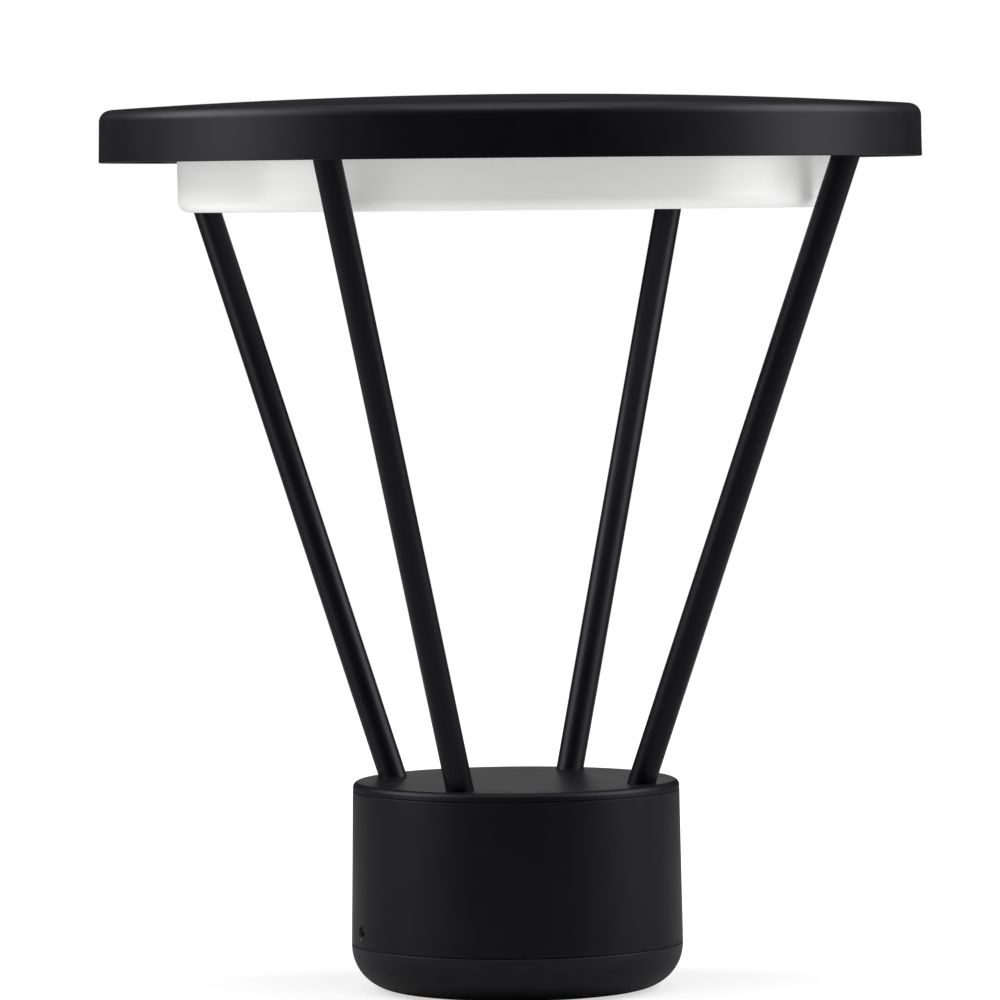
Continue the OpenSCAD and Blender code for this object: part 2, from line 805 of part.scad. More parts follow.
// Die-cast cap: domed top, rounded edge, ledge, radial ribs, ring rib and screw bosses
module cap_shell() {
    wall_in_r = cap_in_r - (ledge_z - rim_z) * tan(cap_draft);
    color(cast_black)
        difference() {
            union() {
                rotate_extrude()
                    union() {
                        polygon(concat(
                            [[cap_r - edge_break, rim_z], [cap_r, rim_z + edge_break]],
                            [for (i = [1:len(cap_line(0)) - 1]) cap_line(0)[i]],
                            reversed(cap_line(cap_wall))
                        ));
                        polygon([
                            [seal_in_r - 0.4, ledge_z],
                            [wall_in_r + 0.5, ledge_z],
                            [wall_in_r + 0.5, ledge_z + ledge_h + 2],
                            [seal_in_r - 0.4, ledge_z + ledge_h]
                        ]);
                    }
                intersection() {
                    rotate_extrude()
                        polygon(concat(cap_line(cap_wall / 2), [[0, rim_z]]));
                    union() {
                        for (a = cap_screw_az()) {
                            translate(polar(cap_boss_at, a, pan_top_z))
                                cylinder(r = cap_boss_r, h = cap_h);
                            rotate([0, 0, a])
                                translate([0, -cap_rib_t / 2, cap_rib_z])
                                    cube([cap_boss_at, cap_rib_t, cap_h]);
                        }
                        translate([0, 0, cap_rib_z - 2])
                            cylinder(r = cap_hub_r, h = cap_h);
                        ring(cap_r / 2 + cap_rib_t / 2, cap_r / 2 - cap_rib_t / 2, cap_rib_z, cap_h);
                    }
                }
            }
            for (a = cap_screw_az())
                translate(polar(cap_boss_at, a, pan_top_z - 1))
                    cylinder(d = frame_screw_d, h = cap_screw_in + 1.5);
        }
}

module cap_screws() {
    color(oxide_black)
        for (a = cap_screw_az())
            translate(polar(cap_boss_at, a, pan_z))
                button_screw(frame_screw_d - 2 * thread_gap, pan_t + cap_screw_in);
}

// Aluminium-core board with a hole for the lead
module led_board() {
    color(board_white)
        difference() {
            translate([0, 0, board_z])
                cylinder(r = board_r, h = board_t);
            translate([0, 0, board_z - 1])
                cylinder(r = grommet_r + 1, h = board_t + 2);
            for (i = [0:board_screws_n - 1])
                translate(polar(board_screw_at, 360 / board_screws_n * i, board_z - 1))
                    cylinder(r = small_screw_d / 2 + slip_gap, h = board_t + 2);
        }
}

// Rings of diodes, eight more in each ring than in the one inside it
module led_chips() {
    color(diode_yellow)
        for (k = [1:chip_rings])
            for (i = [0:8 * k - 1])
                rotate([0, 0, 360 / (8 * k) * i + 180 / (8 * k)])
                    translate([k * chip_step, -chip_w / 2, board_z - chip_h])
                        cube([chip_w, chip_w, chip_h]);
}

module board_screws() {
    color(zinc_grey)
        for (i = [0:board_screws_n - 1])
            translate(polar(board_screw_at, 360 / board_screws_n * i, board_z))
                button_screw(small_screw_d - 2 * thread_gap, board_t + pan_t);
}

// Two-pole connector beside the lead's hole
module board_connector() {
    x = 10;
    y = 9;
    color(nylon_white)
        translate([connector_at, 0, board_z - connector_h])
            difference() {
                rounded_block(x, y, connector_h, 0.8);
                translate([-x / 2 - 1, 0, connector_h - connector_mouth])
                    rotate([0, 90, 0])
                        cylinder(r = lead_r + thread_gap, h = 4);
                for (s = [-1, 1])
                    translate([x / 5, s * 2.2, -1])
                        cylinder(r = 1.2, h = 3);
            }
}

// Rubber bush in the pan's lead hole
module lead_grommet() {
    color(silicone_grey)
        translate([0, 0, pan_z])
            rotate_extrude()
                polygon([
                    [lead_r + thread_gap, -board_t],
                    [grommet_r - 0.6, -board_t],
                    [grommet_r, -board_t + 0.6],
                    [grommet_r, 0],
                    [lead_hole_r, 0],
                    [lead_hole_r, pan_t],
                    [grommet_r, pan_t],
                    [grommet_r - 0.6, pan_t + 1.6],
                    [lead_r + thread_gap, pan_t + 1.6]
                ]);
}

module diffuser_gasket() {
    color(silicone_grey)
        ring(flange_r, dish_side_r(rim_z) - diffuser_wall, pan_z - flange_gasket_t, flange_gasket_t);
}

// Opal acrylic dish with a flange at its mouth
module diffuser() {
    top = pan_z - flange_gasket_t;
    flange_z = top - flange_t;
    color(opal_white)
        rotate_extrude()
            polygon(concat(
                [[dish_side_r(rim_z) - diffuser_wall, top], [flange_r, top], [flange_r, flange_z]],
                dish_line(0, flange_z),
                reversed(dish_line(diffuser_wall, flange_z))
            ));
}

// Black ring that clamps the dish's flange to the pan, its screws sunk level with its face
module diffuser_ring() {
    head_r = flat_head_r(ring_screw_d) + thread_gap;
    hole_r = ring_screw_d / 2 + slip_gap;
    color(cast_black)
        difference() {
            rotate_extrude()
                polygon([
                    [ring_in_r, ring_z],
                    [ring_out_r - edge_break, ring_z],
                    [ring_out_r, ring_z + edge_break],
                    [ring_out_r, pan_z],
                    [ring_step_r, pan_z],
                    [ring_step_r, ring_z + ring_lip_t],
                    [ring_in_r, ring_z + ring_lip_t]
                ]);
            for (i = [0:ring_screws_n - 1])
                translate(polar(ring_screw_at, 360 / ring_screws_n * i, ring_z))
                    rotate_extrude()
                        polygon([
                            [0, -1],
                            [head_r, -1],
                            [head_r, 0],
                            [hole_r, head_r - hole_r],
                            [hole_r, pan_recess],
                            [0, pan_recess]
                        ]);
        }
}

module ring_screws() {
    color(oxide_black)
        for (i = [0:ring_screws_n - 1])
            translate(polar(ring_screw_at, 360 / ring_screws_n * i, ring_z))
                flat_screw(ring_screw_d - 2 * thread_gap, pan_z - ring_z + pan_t);
}

// Potted driver with a mounting tab and a cable gland at each end
module driver() {
    color(case_grey)
        difference() {
            union() {
                translate([0, 0, driver_z])
                    rounded_block(driver_l, driver_w, driver_h, 3);
                translate([0, 0, driver_top_z - tab_t])
                    rounded_block(driver_l + 2 * tab_reach, tab_w, tab_t, 2);
                for (s = [-1, 1])
                    translate([s * (driver_l / 2 - 1), 0, driver_z + driver_h / 2])
                        rotate([0, s * 90, 0])
                            cylinder(r = gland_r, h = gland_l + 1);
                for (s = [-1, 1])
                    for (k = [0:case_ribs - 1])
                        translate([(k - (case_ribs - 1) / 2) * case_rib_step - 1, s * driver_w / 2 - 1, driver_z])
                            cube([2, 2, driver_h - 4]);
            }
            for (s = [-1, 1])
                translate([s * driver_screw_at, 0, driver_top_z - tab_t - 1])
                    cylinder(r = small_screw_d / 2 + slip_gap, h = tab_t + 2);
        }
}

module driver_screws() {
    color(zinc_grey)
        for (s = [-1, 1])
            translate([s * driver_screw_at, 0, driver_top_z - tab_t])
                button_screw(small_screw_d - 2 * thread_gap, tab_t + gear_screw_l - 1);
}

// Surge protector, screwed up against the top plate's web
module surge_protector() {
    color(surge_red)
        translate([0, surge_y, gear_seat_z - surge_h])
            difference() {
                union() {
                    rounded_block(surge_l, surge_w, surge_h, 3);
                    translate([0, 0, surge_h - ear_t])
                        rounded_block(surge_l + 2 * tab_reach, 9, ear_t, 2);
                }
                for (s = [-1, 1])
                    translate([s * surge_screw_at, 0, surge_h - ear_t - 1])
                        cylinder(r = small_screw_d / 2 + slip_gap, h = ear_t + 2);
            }
}

// Three-pole terminal block with wire mouths on both long sides
module terminal_block() {
    color(nylon_white)
        translate([0, block_y, gear_seat_z - block_h])
            difference() {
                union() {
                    translate([0, 0, 4])
                        rounded_block(block_l, block_w, block_h - 4, 1);
                    translate([0, 0, block_h - ear_t])
                        rounded_block(block_l + 2 * tab_reach, 9, ear_t, 1);
                    for (k = [0:block_poles - 1])
                        translate([(k - (block_poles - 1) / 2) * pole_pitch, 0, 0])
                            rounded_block(pole_pitch - 2, block_w - 6, 5, 1);
                }
                for (s = [-1, 1])
                    translate([s * block_screw_at, 0, block_h - ear_t - 1])
                        cylinder(r = small_screw_d / 2 + slip_gap, h = ear_t + 2);
                for (k = [0:block_poles - 1])
                    translate([(k - (block_poles - 1) / 2) * pole_pitch, 0, 0]) {
                        translate([0, 0, -1])
                            cylinder(r = pole_bore_r, h = wire_up + 1);
                        translate([0, -block_w / 2 - 1, wire_up])
                            rotate([-90, 0, 0])
                                cylinder(r = 2, h = block_w + 2);
                    }
            }
}

module terminal_screws() {
    color(zinc_grey)
        for (k = [0:block_poles - 1])
            translate([(k - (block_poles - 1) / 2) * pole_pitch, block_y, gear_seat_z - block_h + 1])
                difference() {
                    cylinder(r = pole_bore_r - thread_gap, h = wire_up - 1 - wire_r - 0.1);
                    translate([-3, -0.4, -1])
                        cube([6, 0.8, 2]);
                }
}

// Screws that hold the surge protector and the terminal block up to their posts
module gear_screws() {
    color(zinc_grey)
        for (s = [-1, 1])
            for (p = [[surge_screw_at, surge_y], [block_screw_at, block_y]])
                translate([s * p[0], p[1], gear_seat_z - ear_t])
                    button_screw(small_screw_d - 2 * thread_gap, ear_t + gear_screw_l - 1);
}

// Green grounding screw in its own post beside the terminal block
module ground_screw() {
    color(ground_green)
        translate([ground_at, block_y, gear_seat_z])
            button_screw(small_screw_d - 2 * thread_gap, gear_screw_l - 1);
}

// Two-core lead from the driver, up inside one rod and over the pan to the board
module led_lead() {
    i = 3;
    foot_end = -rod_seat_base - rod_shoulder - rod_nut_t - stud_end;
    head_end = rod_span + rod_seat_cap + rod_shoulder + rod_nut_t + stud_end;
    gland = [driver_l / 2 + gland_l, 0, driver_z + driver_h / 2];
    az = cap_az(i);
    over_nut_z = rod_point(i, head_end)[2] + 6.5;
    over_z = pan_top_z + lead_r + pan_ring_h + 1;
    mouth_z = board_z - connector_mouth;
    p = [
        gland + [0.35, 0, 0],
        gland + [3, 0, 0],
        gland + [7, -3, -1],
        gland + [9, -12, -3],
        [gland[0] - 2, -34, gland[2] - 6],
        rod_point(i, foot_end - 16) + [-1, 0, 0],
        rod_point(i, foot_end - 7),
        rod_point(i, foot_end),
        rod_point(i, rod_span / 4),
        rod_point(i, rod_span / 2),
        rod_point(i, 3 * rod_span / 4),
        rod_point(i, head_end - 14),
        rod_point(i, head_end - 4),
        rod_point(i, head_end + 2),
        polar(rod_top_r + 3, az, over_nut_z - 0.3),
        polar(rod_top_r - 5, az, over_nut_z),
        polar(rod_top_r - 14, az, over_nut_z - 3),
        polar(rod_top_r - 26, az, over_z),
        polar(pan_ring_r, az, over_z),
        polar(pan_ring_r / 2, az, over_z - 3),
        polar(14, az, pan_top_z + 14),
        [0, 0, pan_top_z + 9],
        [0, 0, pan_top_z + 4],
        [0, 0, pan_z],
        [0, 0, board_z],
        [0, 0, board_z - 1.2],
        [1.8, 0, mouth_z + 0.9],
        [5, 0, mouth_z],
        [9, 0, mouth_z],
        [connector_at - 3, 0, mouth_z]
    ];
    color([0.85, 0.85, 0.84])
        lead(smooth(p, 3), lead_r);
}

// Line, neutral and earth wires from the terminal block to the driver's other gland
module supply_leads() {
    color([0.15, 0.15, 0.16])
        for (k = [0:block_poles - 1]) {
            n = k - (block_poles - 1) / 2;
            x = n * pole_pitch;
            mouth_y = block_y - block_w / 2;
            z = gear_seat_z - block_h + wire_up;
            gland = [-driver_l / 2 - gland_l, 0, driver_z + driver_h / 2];
            p = [
                [x, block_y - 1, z],
                [x, mouth_y + 2, z],
                [x, mouth_y - 3, z],
                [x - 6, mouth_y - 8 - 2.6 * k, z - 4 - 3 * k],
                [x - 18, mouth_y - 8 - 2.6 * k, z - 10 - 3 * k],
                [-driver_l / 2 + 16, mouth_y + 4 - 3 * n, gland[2] - 8 - 3 * n],
                [gland[0] - 2, -30 - 3 * n, gland[2] - 6 - 4 * n],
                [gland[0] - 10, -12, gland[2] - 4 * n],
                [gland[0] - 8, -3, gland[2] - 2.8 * n],
                gland + [-5, 0, -2.7 * n],
                gland + [-2.5, 0, -2.7 * n],
                gland + [-0.2, 0, -2.7 * n]
            ];
            lead(smooth(p, 3), wire_r);
        }
}

fitter();
fitter_gasket();
tenon_screw(tenon_screw_az[0]);  // tenon_screw_back
tenon_screw(tenon_screw_az[1]);  // tenon_screw_left
tenon_screw(tenon_screw_az[2]);  // tenon_screw_right
drum();
plate_gasket();
top_plate();
plate_screws();
lock_screw(180);  // lock_screw_left
lock_screw(0);  // lock_screw_right
rod(0);  // rod_back_right
rod(1);  // rod_back_left
rod(2);  // rod_front_left
rod(3);  // rod_front_right
base_studs();
base_nuts();
cap_studs();
cap_nuts();
pan();
cap_seal();
cap_shell();
cap_screws();
led_board();
led_chips();
board_screws();
board_connector();
lead_grommet();
diffuser_gasket();
diffuser();
diffuser_ring();
ring_screws();
driver();
driver_screws();
surge_protector();
terminal_block();
terminal_screws();
gear_screws();
ground_screw();
led_lead();
supply_leads();
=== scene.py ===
import math

import bmesh
import bpy
from mathutils import Matrix, Vector


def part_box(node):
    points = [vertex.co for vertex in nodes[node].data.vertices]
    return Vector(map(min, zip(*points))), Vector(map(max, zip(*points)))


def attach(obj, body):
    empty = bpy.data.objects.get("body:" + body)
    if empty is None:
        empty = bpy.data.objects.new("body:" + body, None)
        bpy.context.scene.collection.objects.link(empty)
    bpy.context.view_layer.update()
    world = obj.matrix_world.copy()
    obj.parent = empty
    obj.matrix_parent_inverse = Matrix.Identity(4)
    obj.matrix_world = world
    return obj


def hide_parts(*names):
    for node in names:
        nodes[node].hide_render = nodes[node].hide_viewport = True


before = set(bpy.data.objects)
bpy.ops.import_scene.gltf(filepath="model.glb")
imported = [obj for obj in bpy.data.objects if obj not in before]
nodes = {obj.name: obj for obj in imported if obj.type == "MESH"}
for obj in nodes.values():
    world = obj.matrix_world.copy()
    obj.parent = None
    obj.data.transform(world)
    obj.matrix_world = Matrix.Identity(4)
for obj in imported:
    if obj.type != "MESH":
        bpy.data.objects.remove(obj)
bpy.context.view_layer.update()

# Bowl of the base. One aluminium die casting: a round bowl with a spigot for the drum and a
# socket for the post's tenon, powder coated satin black. It stands on the post's shoulder.


def linear(code):
    """An sRGB hex colour such as '1c1c1e' as linear red, green, blue, alpha."""
    parts = [int(code[i:i + 2], 16) / 255 for i in (0, 2, 4)]
    return [p / 12.92 if p <= 0.04045 else ((p + 0.055) / 1.055) ** 2.4 for p in parts] + [1.0]


def add(tree, kind, settings=None, links=None):
    """Adds a node. Settings are attributes or input values, and links join outputs to its inputs."""
    made = tree.nodes.new(kind)
    for key, value in (settings or {}).items():
        if isinstance(key, str) and hasattr(made, key):
            setattr(made, key, value)
        else:
            made.inputs[key].default_value = value
    for key, source in (links or {}).items():
        tree.links.new(source, made.inputs[key])
    return made


# The colour sockets of a Mix node go by number, because their names repeat.
colour_a = 6
colour_b = 7
colour_out = 2


def per_mm(size):
    """Pattern scale for a feature of that size in millimetres, on coordinates in metres."""
    return 1000 / size


def new_material(name, roughness, **sockets):
    """A material with its shader's plain sockets set, its tree and the object's own coordinates."""
    made = bpy.data.materials.new(name)
    made.use_nodes = True
    tree = made.node_tree
    shader = tree.nodes["Principled BSDF"]
    shader.inputs["Roughness"].default_value = roughness
    for socket, value in sockets.items():
        shader.inputs[socket.replace("_", " ")].default_value = value
    place = add(tree, "ShaderNodeTexCoord").outputs["Object"]
    return made, tree, shader, place


def join_shader(tree, shader, colour, gloss, relief):
    """Sends a pattern's colour, gloss and relief to the shader."""
    tree.links.new(colour, shader.inputs["Base Color"])
    tree.links.new(gloss, shader.inputs["Roughness"])
    tree.links.new(relief, shader.inputs["Normal"])


def powder_coat(name, colour, light_colour, grain_mm, roughness):
    """Baked powder coat: colour barely mottled, gloss broken up by orange peel and fine grain."""
    made, tree, shader, place = new_material(name, roughness, IOR=1.5, Specular_IOR_Level=0.2,
                                             Specular_Tint=linear("f3f0ff"))
    mottle_mm = 34
    peel_mm = 3.2
    cloud = add(tree, "ShaderNodeTexNoise",
                {"Scale": per_mm(mottle_mm), "Detail": 3.0, "Roughness": 0.55},
                {"Vector": place}).outputs["Fac"]
    peel = add(tree, "ShaderNodeTexNoise",
               {"Scale": per_mm(peel_mm), "Detail": 2.0, "Roughness": 0.4},
               {"Vector": place}).outputs["Fac"]
    grain = add(tree, "ShaderNodeTexNoise",
                {"Scale": per_mm(grain_mm), "Detail": 2.0, "Roughness": 0.6},
                {"Vector": place}).outputs["Fac"]
    # Dust: a soft speck 0.6 to 1 mm across, in one out of seventeen cells 9 mm wide.
    dust_cell_mm = 9
    clean_share = 0.94
    fleck = add(tree, "ShaderNodeTexVoronoi", {"Scale": per_mm(dust_cell_mm)}, {"Vector": place})
    speck = add(tree, "ShaderNodeMapRange",
                {"From Min": 0.035, "From Max": 0.055, "To Min": 1.0, "To Max": 0.0},
                {"Value": fleck.outputs["Distance"]})
    cell = add(tree, "ShaderNodeSeparateColor", {}, {"Color": fleck.outputs["Color"]})
    rare = add(tree, "ShaderNodeMath", {"operation": "GREATER_THAN", 1: clean_share},
               {0: cell.outputs["Red"]})
    dust = add(tree, "ShaderNodeMath", {"operation": "MULTIPLY"},
               {0: speck.outputs["Result"], 1: rare.outputs["Value"]})
    tone = add(tree, "ShaderNodeMapRange", {"From Min": 0.3, "From Max": 0.7}, {"Value": cloud})
    base = add(tree, "ShaderNodeMix",
               {"data_type": "RGBA", colour_a: linear(colour), colour_b: linear(light_colour)},
               {0: tone.outputs["Result"]})
    dusted = add(tree, "ShaderNodeMix", {"data_type": "RGBA", colour_b: linear("3c3c3f")},
                 {0: dust.outputs["Value"], colour_a: base.outputs[colour_out]})
    gloss = add(tree, "ShaderNodeMapRange",
                {"From Min": 0.25, "From Max": 0.75,
                 "To Min": roughness - 0.02, "To Max": roughness + 0.03},
                {"Value": cloud})
    orange_peel = add(tree, "ShaderNodeBump", {"Strength": 0.22, "Distance": 0.00006}, {"Height": peel})
    fine = add(tree, "ShaderNodeBump", {"Strength": 0.35, "Distance": 0.00003},
               {"Height": grain, "Normal": orange_peel.outputs["Normal"]})
    join_shader(tree, shader, dusted.outputs[colour_out], gloss.outputs["Result"],
                fine.outputs["Normal"])
    return made


def finish_with(material, *names):
    """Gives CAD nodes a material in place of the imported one."""
    for name in names:
        mesh = nodes[name].data
        mesh.materials.clear()
        mesh.materials.append(material)


# Satin black polyester powder on cast aluminium: near black, soft broad highlights, a faint grain.
# The real grain is about 0.2 mm and is drawn 0.9 mm so that it shows.
cast_coat = powder_coat("powder_coated_cast_aluminium", "060608", "0a0a0d",
                        grain_mm=0.9, roughness=0.44)
# The bowl's coat is painted a shade greyer than the other castings' coat, as a painted reflection of the
# pale floor that its lower, downward-turned side mirrors.
bowl_coat_painted_reflection = powder_coat("powder_coat_painted_greyer", "151517", "1b1b1e", grain_mm=0.9, roughness=0.44)
finish_with(bowl_coat_painted_reflection, "fitter")

# Gaskets of the base's two seams. Flat rings punched from grey silicone sheet, laid dry between
# the bowl, the drum and the top plate and pressed flat by the screws.


def moulded(name, colour, other_colour, patch_mm, grain_mm, bump_mm, roughness, **sockets):
    """Rubber, plastic or lacquer: two close shades in soft patches under a fine skin texture."""
    # The real skin texture is about 0.1 mm wide, and grain_mm draws it coarser so that it shows.
    made, tree, shader, place = new_material(name, roughness, **sockets)
    patches = add(tree, "ShaderNodeTexNoise",
                  {"Scale": per_mm(patch_mm), "Detail": 2.0, "Roughness": 0.5},
                  {"Vector": place}).outputs["Fac"]
    texture = add(tree, "ShaderNodeTexNoise",
                  {"Scale": per_mm(grain_mm), "Detail": 2.0, "Roughness": 0.5},
                  {"Vector": place}).outputs["Fac"]
    tone = add(tree, "ShaderNodeMapRange", {"From Min": 0.3, "From Max": 0.7}, {"Value": patches})
    base = add(tree, "ShaderNodeMix",
               {"data_type": "RGBA", colour_a: linear(colour), colour_b: linear(other_colour)},
               {0: tone.outputs["Result"]})
    gloss = add(tree, "ShaderNodeMapRange",
                {"To Min": roughness - 0.04, "To Max": roughness + 0.04}, {"Value": texture})
    bump = add(tree, "ShaderNodeBump", {"Strength": 0.3, "Distance": bump_mm / 1000},
               {"Height": texture})
    join_shader(tree, shader, base.outputs[colour_out], gloss.outputs["Result"],
                bump.outputs["Normal"])
    return made


# Grey silicone: matt, slightly dusty, with the faint grain of its mould.
silicone = moulded("grey_silicone", "6c6d6b", "787976",
                   patch_mm=12, grain_mm=0.8, bump_mm=0.05, roughness=0.62, IOR=1.41)
finish_with(silicone, "fitter_gasket", "plate_gasket")

# Three set screws of the tenon socket and two lock screws of the drum. Turned steel with rolled
# threads and hexagon sockets. The three clamp the tenon and are reached with the head lifted,
# and the two keep the drum on the spigot and are driven from outside.


def turned_steel(name, colour, other_colour, mark_mm, roughness):
    """Machined metal: a fine grain of tool marks and small changes of shade and gloss."""
    made, tree, shader, place = new_material(name, roughness, Metallic=1.0)
    patch_mm = 2.4
    marks = add(tree, "ShaderNodeTexNoise",
                {"Scale": per_mm(mark_mm), "Detail": 3.0, "Roughness": 0.7},
                {"Vector": place}).outputs["Fac"]
    patches = add(tree, "ShaderNodeTexNoise",
                  {"Scale": per_mm(patch_mm), "Detail": 2.0, "Roughness": 0.5},
                  {"Vector": place}).outputs["Fac"]
    base = add(tree, "ShaderNodeMix",
               {"data_type": "RGBA", colour_a: linear(colour), colour_b: linear(other_colour)},
               {0: patches})
    gloss = add(tree, "ShaderNodeMapRange",
                {"To Min": roughness - 0.08, "To Max": roughness + 0.1}, {"Value": marks})
    bump = add(tree, "ShaderNodeBump", {"Strength": 0.2, "Distance": 0.00002}, {"Height": marks})
    join_shader(tree, shader, base.outputs[colour_out], gloss.outputs["Result"],
                bump.outputs["Normal"])
    return made


# Stainless steel A2: pale warm grey, fairly bright, with tool marks drawn 0.3 mm apart to show.
stainless = turned_steel("turned_stainless_steel", "b9b6b0", "a6a39e", mark_mm=0.3, roughness=0.32)
# Steel with a black oxide: dark brownish grey, so that the screws don't show in the black coat.
black_oxide = turned_steel("black_oxide_steel", "2c2b2a", "232221", mark_mm=0.3, roughness=0.4)

# All five are M8 screws with a coarse thread.
screw_facets = 36
thread_pitch = 0.00125
thread_depth = 0.0005
rings_per_turn = 8
screw_chamfer = 0.0008
hexagon_flat = 0.0039
tenon_hexagon_depth = 0.0035
lock_hexagon_depth = 0.003


def thread_reaches(radius, height):
    """How far each facet of the rolled thread is from the screw's axis, at a height over its tip."""
    reaches = []
    for k in range(screw_facets):
        phase = (height / thread_pitch - k / screw_facets) % 1
        reaches.append(radius - thread_depth * abs(2 * phase - 1))
    return reaches


def hexagon_reaches():
    """How far each facet of the hexagon socket is from the screw's axis."""
    reaches = []
    for k in range(screw_facets):
        angle = 2 * math.pi * k / screw_facets
        from_flat = (angle + math.pi / 6) % (math.pi / 3) - math.pi / 6
        reaches.append(hexagon_flat / 2 / math.cos(from_flat))
    return reaches


def screw_profile(radius, length, hexagon_depth):
    """A set screw's rings as heights over the tip and reaches, round the head into its socket."""
    steps = round(length / thread_pitch * rings_per_turn)
    turns = [length * k / steps for k in range(steps + 1)]
    end = [radius - screw_chamfer] * screw_facets
    middle_of_thread = [radius - thread_depth / 2] * screw_facets
    rings = [(0.0, end), (screw_chamfer, middle_of_thread)]
    rings += [(turn, thread_reaches(radius, turn)) for turn in turns
              if screw_chamfer < turn < length - screw_chamfer / 2]
    rings += [(length - screw_chamfer / 2, middle_of_thread), (length, end)]
    rings += [(length, hexagon_reaches()), (length - hexagon_depth, hexagon_reaches())]
    return rings


def close_loops(bm, loops, material_index=0):
    """A closed body through loops of points: quads from each to the next, and a face at both ends."""
    faces = [loops[0][::-1], loops[-1]]
    for one, two in zip(loops, loops[1:]):
        for k in range(len(one)):
            n = (k + 1) % len(one)
            faces.append((one[k], one[n], two[n], two[k]))
    for face in faces:
        bm.faces.new(face).material_index = material_index


def put(name, data):
    """A new object with that mesh, lamp or camera, in the scene."""
    made = bpy.data.objects.new(name, data)
    bpy.context.scene.collection.objects.link(made)
    return made


def stand_in(name, mesh, node, body):
    """A piece with that mesh, shown in place of a CAD node and riding on a body."""
    made = put(name, mesh)
    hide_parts(node)
    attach(made, body)
    return made


def threaded_set_screw(node, outward, hexagon_depth, material):
    """Set screw with a rolled thread and a hexagon socket. Its body has the name of its node."""
    points = [vertex.co for vertex in nodes[node].data.vertices]
    along = [point.dot(outward) for point in points]
    start = min(along)
    length = max(along) - start
    low, high = (Vector(corner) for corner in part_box(node))
    middle = (low + high) / 2
    foot = middle + outward * (start - middle.dot(outward))
    side = Vector((0, 0, 1))
    other = outward.cross(side)
    radius = max((point - foot - outward * (point - foot).dot(outward)).length for point in points)
    bm = bmesh.new()
    loops = []
    for height, reaches in screw_profile(radius, length, hexagon_depth):
        loop = []
        for k, reach in enumerate(reaches):
            angle = 2 * math.pi * k / screw_facets
            away = side * math.cos(angle) + other * math.sin(angle)
            loop.append(bm.verts.new(foot + outward * height + away * reach))
        loops.append(loop)
    close_loops(bm, loops)
    bmesh.ops.recalc_face_normals(bm, faces=bm.faces)
    name = "threaded_" + node
    mesh = bpy.data.meshes.new(name)
    bm.to_mesh(mesh)
    bm.free()
    mesh.materials.append(material)
    return stand_in(name, mesh, node, node)


for place, azimuth in (("back", 90), ("left", 210), ("right", 330)):
    out = Vector((math.cos(math.radians(azimuth)), math.sin(math.radians(azimuth)), 0))
    screw = threaded_set_screw("tenon_screw_" + place, out, tenon_hexagon_depth, stainless)
for place, out in (("left", Vector((-1, 0, 0))), ("right", Vector((1, 0, 0)))):
    screw = threaded_set_screw("lock_screw_" + place, out, lock_hexagon_depth, black_oxide)

# Drum and top plate of the base. Two more castings in the same coat: the drum slips over the
# bowl's spigot, and four stainless screws come up through its lugs into the plate.
finish_with(cast_coat, "drum", "top_plate")
finish_with(stainless, "plate_screws")

# Gear under the top plate. A nylon terminal block, a surge protector in a red moulded case and
# a potted driver in an aluminium case, each held up against the plate by small stainless screws,
# with a green grounding screw beside the block.

# Natural nylon: translucent cream, satin, moulded.
nylon = moulded("natural_nylon", "e4ddc8", "ebe5d3",
                patch_mm=6, grain_mm=0.5, bump_mm=0.02, roughness=0.4, IOR=1.53)
# Aluminium case, etched and clear anodised: light grey metal with a soft even grain.
driver_case = turned_steel("anodised_aluminium_case", "a9abad", "9c9ea1", mark_mm=0.8, roughness=0.38)
# Flame retardant thermoplastic of the surge protector's case: an even dull red, satin.
red_case = moulded("red_thermoplastic", "9c231b", "a82a20",
                   patch_mm=8, grain_mm=0.6, bump_mm=0.03, roughness=0.42, IOR=1.54)
# Green lacquer on the grounding screw, as the rules for wiring ask: dark green, fairly glossy.
green_lacquer = moulded("green_lacquered_steel", "1d6b35", "237a3f",
                        patch_mm=2, grain_mm=0.3, bump_mm=0.01, roughness=0.3, IOR=1.5)
finish_with(nylon, "terminal_block")
finish_with(red_case, "surge_protector")
finish_with(driver_case, "driver")
finish_with(green_lacquer, "ground_screw")
finish_with(stainless, "driver_screws", "gear_screws", "terminal_screws")

# Four rods with their studs and nuts. Drawn steel tube in the same black powder, tapped at both
# ends for hollow studs, which pass through the top plate and the pan and take a nut inside.

# On smooth drawn tube the coat has a finer grain and is slightly glossier. The grain is drawn
# 0.7 mm so that it shows.
tube_coat = powder_coat("powder_coated_steel_tube", "060608", "0a0a0d", grain_mm=0.7, roughness=0.42)
finish_with(tube_coat, "rod_back_right", "rod_back_left", "rod_front_left", "rod_front_right")
finish_with(stainless, "base_studs", "base_nuts", "cap_studs", "cap_nuts")

# Lead of the board and three supply wires. Copper strand in soft PVC, cut to length: the lead
# climbs from the driver through one rod to the board, and the line, neutral and ground wires run
# from the terminal block to the driver.

# Soft PVC: satin, with a faintly uneven skin. White, black and green tell the wires apart.
white_pvc = moulded("white_pvc", "d9d9d4", "e2e2de",
                    patch_mm=9, grain_mm=0.7, bump_mm=0.02, roughness=0.36, IOR=1.53)
black_pvc = moulded("black_pvc", "131314", "1b1b1c",
                    patch_mm=9, grain_mm=0.7, bump_mm=0.02, roughness=0.36, IOR=1.53)
green_pvc = moulded("green_pvc", "1c7a3a", "238a45",
                    patch_mm=9, grain_mm=0.7, bump_mm=0.02, roughness=0.36, IOR=1.53)

same_point = 0.000001
nearly_half_turn = 3.1


